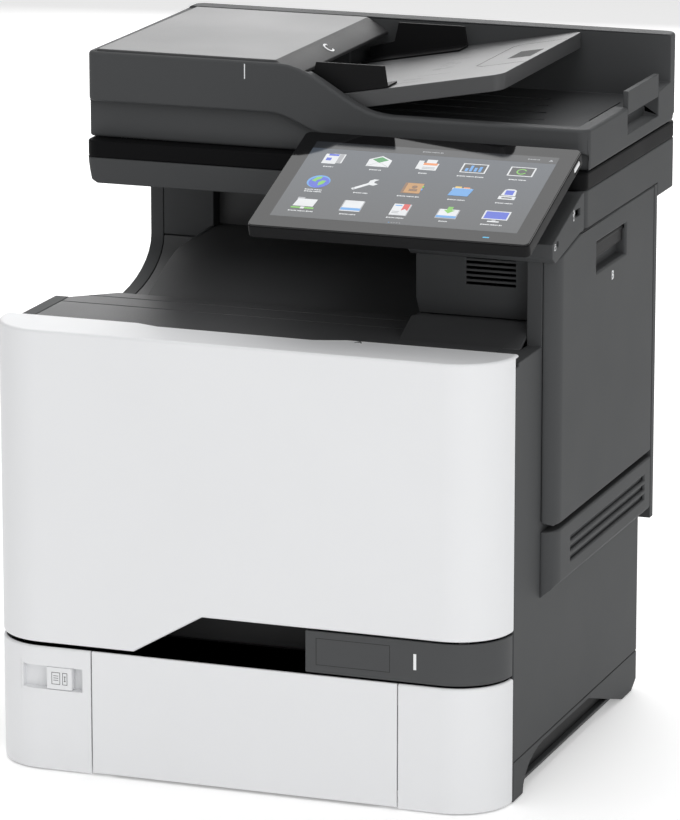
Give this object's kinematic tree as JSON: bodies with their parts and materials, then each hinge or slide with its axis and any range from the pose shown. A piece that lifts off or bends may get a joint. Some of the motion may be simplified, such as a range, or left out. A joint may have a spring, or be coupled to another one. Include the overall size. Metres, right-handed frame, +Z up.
{
  "type": "multifunction photocopier",
  "caption": "Colour photocopier with a paper tray, white front door, side door, output bin, tilting touch display, flatbed scanner and document feeder.",
  "frame": {"origin": "under the middle of the bounding box, on the floor plane", "axes": "+X to the right seen from the front, +Y from the front to the back, +Z up"},
  "size_m": [0.483, 0.478, 0.606],
  "materials": {
    "white_panel": "fine satin texture",
    "dark_grey": "fine grained satin texture",
    "black_plastic": "satin",
    "black_rubber": "matt",
    "steel_sheet": "zinc plated sheet",
    "glass_clear": "clear",
    "screen_glass": "gloss black with a lit screen",
    "drum_green": "coated",
    "fuser_film": "film",
    "board_green": "solder mask",
    "white_foam": "foam faced"
  },
  "bodies": {
    "machine": {"base_pan": "dark_grey", "rubber_feet": "black_rubber", "base_frame": "steel_sheet", "left_cover": "dark_grey", "right_cover": "dark_grey", "rear_cover": "dark_grey", "vent_panel": "dark_grey", "front_band": "black_plastic", "inner_front_panel": "black_plastic", "deck_cover": "dark_grey", "left_pillar": "dark_grey", "grille_column": "dark_grey", "display_console": "black_plastic", "scanner_base": "dark_grey", "scanner_rim": "black_plastic", "platen_glass": "glass_clear", "feeder_hinges": "steel_sheet", "toner_black": "black_plastic", "toner_cyan": "black_plastic", "toner_magenta": "black_plastic", "toner_yellow": "black_plastic", "drum_carrier": "black_plastic", "transfer_belt": "black_rubber", "laser_unit": "black_plastic", "fuser_housing": "black_plastic", "power_supply": "steel_sheet", "controller_board": "board_green", "fan_frame": "black_plastic", "connectors": "black_plastic"},
    "carriage": {"scan_carriage": "black_plastic"},
    "feeder": {"feeder_body": "dark_grey", "platen_pad": "white_foam"},
    "cover_c": {"feeder_cover": "dark_grey"},
    "feed_roller": {"feeder_roller": "black_rubber"},
    "original_tray": {"input_tray": "dark_grey"},
    "guide_front": {"front_guide": "black_plastic"},
    "guide_rear": {"rear_guide": "black_plastic"},
    "stop_flap": {"paper_stop": "dark_grey"},
    "display": {"display_housing": "black_plastic", "display_glass": "screen_glass"},
    "power_key": {"power_button": "white_panel"},
    "front_door": {"door_a": "white_panel"},
    "side_door": {"door_b": "dark_grey", "door_b_liner": "black_plastic"},
    "side_latch": {"door_b_latch": "black_plastic"},
    "paper_tray": {"tray_front": "white_panel", "tray_body": "black_plastic"},
    "feed_door": {"manual_feed_door": "white_panel"},
    "size_slider": {"tray_latch": "white_panel"},
    "lifter": {"lift_plate": "steel_sheet"},
    "drum_1": {"drum_black": "drum_green"},
    "drum_2": {"drum_cyan": "drum_green"},
    "drum_3": {"drum_magenta": "drum_green"},
    "drum_4": {"drum_yellow": "drum_green"},
    "belt_drive": {"belt_roller": "steel_sheet"},
    "fuser_hot": {"fuser_roller": "fuser_film"},
    "fuser_press": {"pressure_roller": "black_rubber"},
    "pick": {"pick_roller": "black_rubber"},
    "exit": {"exit_roller": "black_rubber"},
    "fan": {"fan_rotor": "black_plastic"}
  },
  "joints": [
    {"name": "carriage_slide", "type": "slide", "parent": "machine", "child": "carriage", "axis": [1, 0, 0], "range_m": [0, 0.3]},
    {"name": "feeder_lid", "type": "hinge", "parent": "machine", "child": "feeder", "pos_m": [-0.0065, 0.231, 0.5347], "axis": [-1, 0, 0], "range_deg": [0, 70]},
    {"name": "cover_c_hinge", "type": "hinge", "parent": "feeder", "child": "cover_c", "pos_m": [-0.214, 0.09, 0.6005], "axis": [0, -1, 0], "range_deg": [0, 75]},
    {"name": "feed_roller_spin", "type": "hinge", "parent": "cover_c", "child": "feed_roller", "pos_m": [-0.0985, 0.09, 0.583], "axis": [0, 1, 0], "continuous": true},
    {"name": "original_tray_hinge", "type": "hinge", "parent": "feeder", "child": "original_tray", "pos_m": [-0.0445, 0.09, 0.56478], "axis": [0, -1, 0], "range_deg": [0, 12]},
    {"name": "guide_front_slide", "type": "slide", "parent": "original_tray", "child": "guide_front", "axis": [0, 1, 0], "range_m": [0, 0.06]},
    {"name": "guide_rear_slide", "type": "slide", "parent": "original_tray", "child": "guide_rear", "axis": [0, 1, 0], "range_m": [-0.06, 0]},
    {"name": "stop_flap_hinge", "type": "hinge", "parent": "feeder", "child": "stop_flap", "pos_m": [0.2375, 0.13, 0.557], "axis": [0, -1, 0], "range_deg": [0, 90]},
    {"name": "display_tilt", "type": "hinge", "parent": "machine", "child": "display", "pos_m": [0.1135, -0.082, 0.5065], "axis": [1, 0, 0], "range_deg": [-3, 14]},
    {"name": "power_key_press", "type": "slide", "parent": "display", "child": "power_key", "axis": [-1, 0, 0], "range_m": [0, 0.001], "stiffness_N_per_m": 400},
    {"name": "front_door_hinge", "type": "hinge", "parent": "machine", "child": "front_door", "pos_m": [-0.0065, -0.226, 0.134], "axis": [1, 0, 0], "range_deg": [0, 85]},
    {"name": "side_door_hinge", "type": "hinge", "parent": "machine", "child": "side_door", "pos_m": [0.2335, 0.026, 0.236], "axis": [0, 1, 0], "range_deg": [0, 70]},
    {"name": "side_latch_pull", "type": "hinge", "parent": "side_door", "child": "side_latch", "pos_m": [0.23675, 0.04, 0.455], "axis": [0, -1, 0], "range_deg": [0, 18], "stiffness_Nm_per_rad": 0.05},
    {"name": "paper_tray_slide", "type": "slide", "parent": "machine", "child": "paper_tray", "axis": [0, -1, 0], "range_m": [0, 0.3]},
    {"name": "feed_door_hinge", "type": "hinge", "parent": "paper_tray", "child": "feed_door", "pos_m": [-0.0005, -0.2345, 0.008], "axis": [1, 0, 0], "range_deg": [0, 85]},
    {"name": "size_slider_slide", "type": "slide", "parent": "paper_tray", "child": "size_slider", "axis": [-1, 0, 0], "range_m": [0, 0.014]},
    {"name": "lifter_hinge", "type": "hinge", "parent": "paper_tray", "child": "lifter", "pos_m": [-0.1515, -0.04, 0.025], "axis": [0, -1, 0], "range_deg": [0, 11]},
    {"name": "drum_1_spin", "type": "hinge", "parent": "machine", "child": "drum_1", "pos_m": [-0.1565, -0.008, 0.262], "axis": [0, 1, 0], "continuous": true},
    {"name": "drum_2_spin", "type": "hinge", "parent": "machine", "child": "drum_2", "pos_m": [-0.0715, -0.008, 0.262], "axis": [0, 1, 0], "continuous": true},
    {"name": "drum_3_spin", "type": "hinge", "parent": "machine", "child": "drum_3", "pos_m": [0.0135, -0.008, 0.262], "axis": [0, 1, 0], "continuous": true},
    {"name": "drum_4_spin", "type": "hinge", "parent": "machine", "child": "drum_4", "pos_m": [0.0985, -0.008, 0.262], "axis": [0, 1, 0], "continuous": true},
    {"name": "belt_drive_spin", "type": "hinge", "parent": "machine", "child": "belt_drive", "pos_m": [0.1185, -0.008, 0.2314], "axis": [0, 1, 0], "continuous": true},
    {"name": "fuser_hot_spin", "type": "hinge", "parent": "machine", "child": "fuser_hot", "pos_m": [0.1765, 0.005, 0.365], "axis": [0, 1, 0], "continuous": true},
    {"name": "fuser_press_spin", "type": "hinge", "parent": "machine", "child": "fuser_press", "pos_m": [0.2008, 0.005, 0.365], "axis": [0, 1, 0], "continuous": true},
    {"name": "pick_spin", "type": "hinge", "parent": "machine", "child": "pick", "pos_m": [0.1435, 0.01, 0.108], "axis": [0, 1, 0], "continuous": true},
    {"name": "exit_spin", "type": "hinge", "parent": "machine", "child": "exit", "pos_m": [0.1215, 0.04, 0.449], "axis": [0, 1, 0], "continuous": true},
    {"name": "fan_spin", "type": "hinge", "parent": "machine", "child": "fan", "pos_m": [-0.1465, 0.16, 0.3], "axis": [0, 1, 0], "continuous": true}
  ],
  "couplings": [
    {"joint": "guide_rear_slide", "follows": "guide_front_slide", "ratio": -1},
    {"joint": "drum_2_spin", "follows": "drum_1_spin", "ratio": 1},
    {"joint": "drum_3_spin", "follows": "drum_1_spin", "ratio": 1},
    {"joint": "drum_4_spin", "follows": "drum_1_spin", "ratio": 1},
    {"joint": "belt_drive_spin", "follows": "drum_1_spin", "ratio": -1.0714},
    {"joint": "fuser_press_spin", "follows": "fuser_hot_spin", "ratio": -1}
  ]
}
